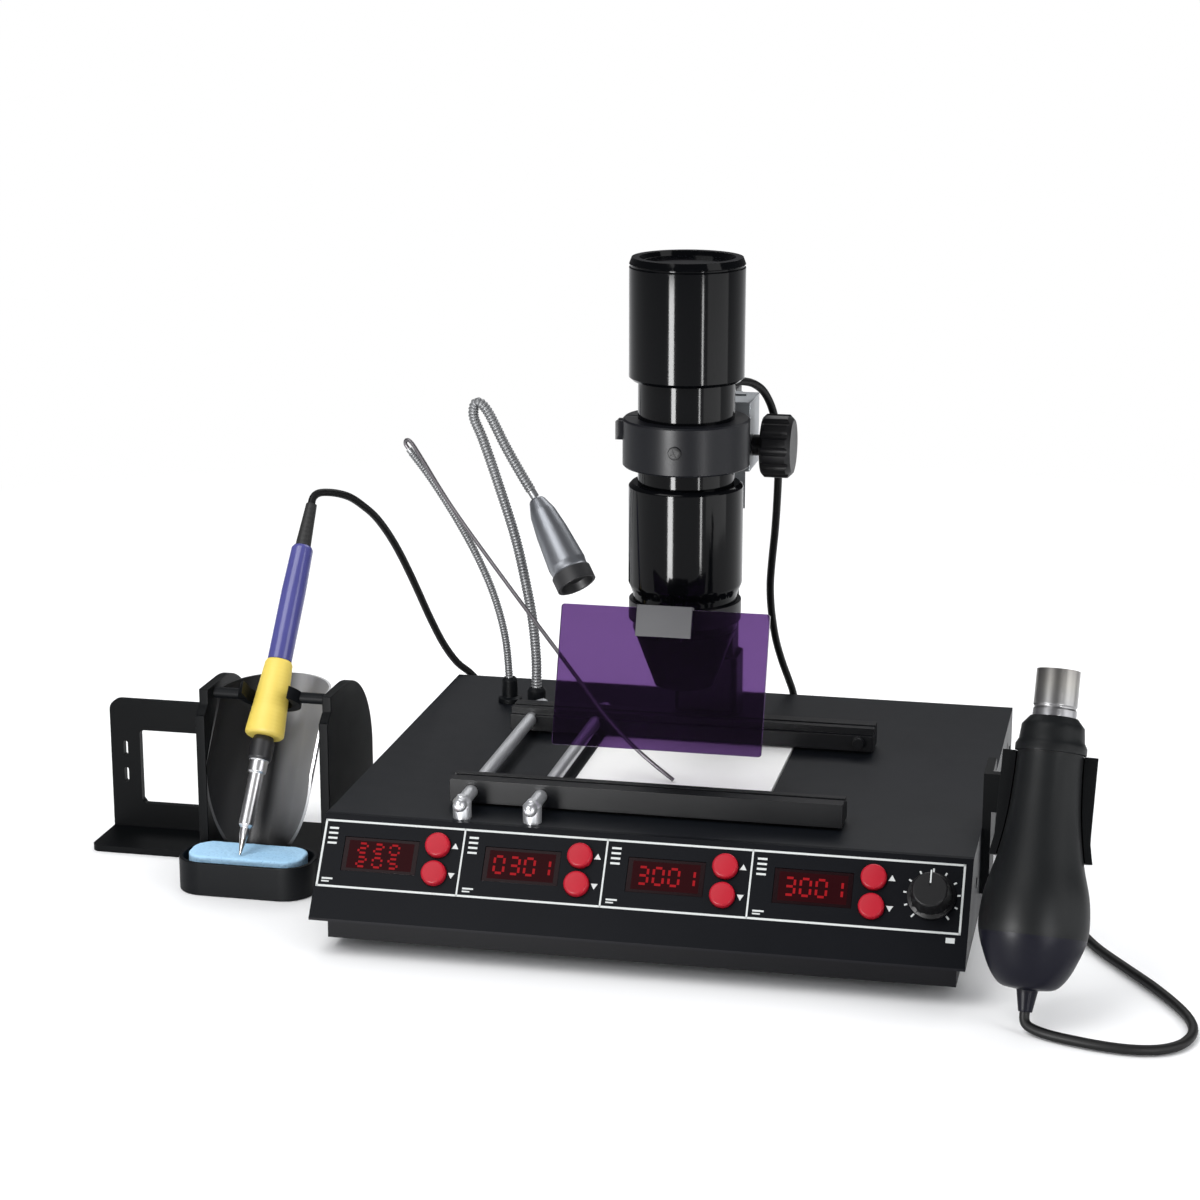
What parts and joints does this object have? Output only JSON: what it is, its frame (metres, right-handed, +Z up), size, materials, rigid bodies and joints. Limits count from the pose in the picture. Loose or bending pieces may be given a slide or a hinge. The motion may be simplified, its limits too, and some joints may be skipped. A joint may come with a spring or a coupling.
{
  "type": "bga rework station",
  "caption": "Bench rework station with a preheating plate, focusing infrared lamp, tilting eye shield, board rails, hot-air gun in a cradle and soldering iron in its stand.",
  "frame": {"origin": "on the bench, under the middle of the object's box without its cords", "axes": "+X to the operator's right, +Y away from the operator, +Z up"},
  "size_m": [0.6982, 0.4304, 0.39],
  "materials": {
    "case": "satin dark grey",
    "panel": "satin, with white line frames",
    "pan": "matt black",
    "rubber": "matt",
    "window": "clear dark red",
    "board": "green laminate",
    "core": "varnished laminations",
    "inlet": "moulded",
    "sheet_steel": "plain sheet",
    "ceramic": "white glazed ceramic",
    "rod": "polished",
    "rail": "black anodised",
    "column": "satin black",
    "rack": "machined",
    "socket": "moulded black",
    "gooseneck": "wound metal hose",
    "probe": "thin sheathed wire",
    "light": "satin",
    "cradle": "black",
    "gland": "moulded",
    "stand": "black",
    "guard": "grey",
    "tray": "moulded black",
    "sponge": "light blue sponge",
    "button": "red",
    "knob": "fluted black",
    "lamp": "gloss black",
    "lens": "clear",
    "bulb": "frosted",
    "bracket": "dark grey",
    "pinion": "cut teeth",
    "clip": "bright",
    "shield": "clear purple filter",
    "gun": "charcoal",
    "nozzle": "bright",
    "tip": "bright with black nut",
    "grip": "yellow",
    "handle": "blue",
    "cord": "black"
  },
  "bodies": {
    "base": {"base_pan": "pan", "top_cover": "case", "front_panel": "panel", "rear_panel": "panel", "rubber_feet": "rubber", "display_windows": "window", "control_board": "board", "transformer": "core", "mains_inlet": "inlet", "heater_tray": "sheet_steel", "heater_plate": "ceramic", "guide_rods": "rod", "lamp_column": "column", "rack_plate": "rack", "arm_sockets": "socket", "sensor_arm": "gooseneck", "sensor_probe": "probe", "light_arm": "gooseneck", "light_head": "light", "gun_cradle": "cradle", "cord_glands": "gland", "stand_base": "stand", "stand_cheeks": "stand", "stand_guard": "guard", "iron_ring": "stand", "side_frame": "stand", "sponge_tray": "tray", "sponge": "sponge", "lamp_cord": "cord", "iron_cord": "cord", "gun_cord": "cord"},
    "air_knob": {"air_knob": "knob"},
    "power_rocker": {"power_rocker": "button"},
    "front_rail": {"front_rail": "rail"},
    "rear_rail": {"rear_rail": "rail"},
    "lamp": {"lamp_carriage": "lamp", "clamp_ring": "lamp", "lamp_upper": "lamp", "lamp_lower": "lamp", "lens_cone": "lamp", "lamp_lens": "lens", "ir_bulb": "bulb", "shield_bracket": "bracket"},
    "focus": {"focus_knob": "knob", "focus_pinion": "pinion"},
    "shield": {"shield_clip": "clip", "eye_shield": "shield"},
    "gun": {"gun_body": "gun", "gun_nozzle": "nozzle"},
    "iron": {"iron_tip": "tip", "iron_grip": "grip", "iron_handle": "handle"},
    "button_1_upper": {"button_1_upper": "button"},
    "button_1_lower": {"button_1_lower": "button"},
    "button_2_upper": {"button_2_upper": "button"},
    "button_2_lower": {"button_2_lower": "button"},
    "button_3_upper": {"button_3_upper": "button"},
    "button_3_lower": {"button_3_lower": "button"},
    "button_4_upper": {"button_4_upper": "button"},
    "button_4_lower": {"button_4_lower": "button"}
  },
  "joints": [
    {"name": "button_1_upper_press", "type": "slide", "parent": "base", "child": "button_1_upper", "axis": [0, 0.8072, -0.5903], "range_m": [0, 0.0015], "stiffness_N_per_m": 300},
    {"name": "button_1_lower_press", "type": "slide", "parent": "base", "child": "button_1_lower", "axis": [0, 0.8072, -0.5903], "range_m": [0, 0.0015], "stiffness_N_per_m": 300},
    {"name": "button_2_upper_press", "type": "slide", "parent": "base", "child": "button_2_upper", "axis": [0, 0.8072, -0.5903], "range_m": [0, 0.0015], "stiffness_N_per_m": 300},
    {"name": "button_2_lower_press", "type": "slide", "parent": "base", "child": "button_2_lower", "axis": [0, 0.8072, -0.5903], "range_m": [0, 0.0015], "stiffness_N_per_m": 300},
    {"name": "button_3_upper_press", "type": "slide", "parent": "base", "child": "button_3_upper", "axis": [0, 0.8072, -0.5903], "range_m": [0, 0.0015], "stiffness_N_per_m": 300},
    {"name": "button_3_lower_press", "type": "slide", "parent": "base", "child": "button_3_lower", "axis": [0, 0.8072, -0.5903], "range_m": [0, 0.0015], "stiffness_N_per_m": 300},
    {"name": "button_4_upper_press", "type": "slide", "parent": "base", "child": "button_4_upper", "axis": [0, 0.8072, -0.5903], "range_m": [0, 0.0015], "stiffness_N_per_m": 300},
    {"name": "button_4_lower_press", "type": "slide", "parent": "base", "child": "button_4_lower", "axis": [0, 0.8072, -0.5903], "range_m": [0, 0.0015], "stiffness_N_per_m": 300},
    {"name": "air_knob_turn", "type": "hinge", "parent": "base", "child": "air_knob", "pos_m": [0.23076, -0.13722, 0.05619], "axis": [0, -0.8072, 0.5903], "range_deg": [-140, 140]},
    {"name": "power_switch", "type": "hinge", "parent": "base", "child": "power_rocker", "pos_m": [0.18146, 0.17554, 0.0495], "axis": [0, 0, 1], "range_deg": [0, 16]},
    {"name": "front_rail_slide", "type": "slide", "parent": "base", "child": "front_rail", "axis": [0, 1, 0], "range_m": [-0.014, 0.012]},
    {"name": "rear_rail_slide", "type": "slide", "parent": "base", "child": "rear_rail", "axis": [0, 1, 0], "range_m": [-0.04, 0]},
    {"name": "lamp_slide", "type": "slide", "parent": "base", "child": "lamp", "axis": [0, 0, 1], "range_m": [-0.015, 0.02], "deforming": ["lamp_cord"]},
    {"name": "focus_turn", "type": "hinge", "parent": "lamp", "child": "focus", "pos_m": [0.06346, 0.05834, 0.2685], "axis": [1, 0, 0], "range_deg": [-160, 120]},
    {"name": "shield_tilt", "type": "hinge", "parent": "lamp", "child": "shield", "pos_m": [0.06346, -0.04896, 0.183], "axis": [1, 0, 0], "range_deg": [-35, 15]},
    {"name": "iron_pull", "type": "slide", "parent": "base", "child": "iron", "axis": [0.0288, -0.8348, 0.5497], "range_m": [0, 0.06], "deforming": ["iron_cord"]},
    {"name": "gun_pull", "type": "slide", "parent": "base", "child": "gun", "axis": [0.0155, -0.9291, 0.3694], "range_m": [0, 0.08], "deforming": ["gun_cord"]}
  ],
  "couplings": [
    {"joint": "focus_turn", "follows": "lamp_slide", "rad_per_m": -138.89}
  ]
}
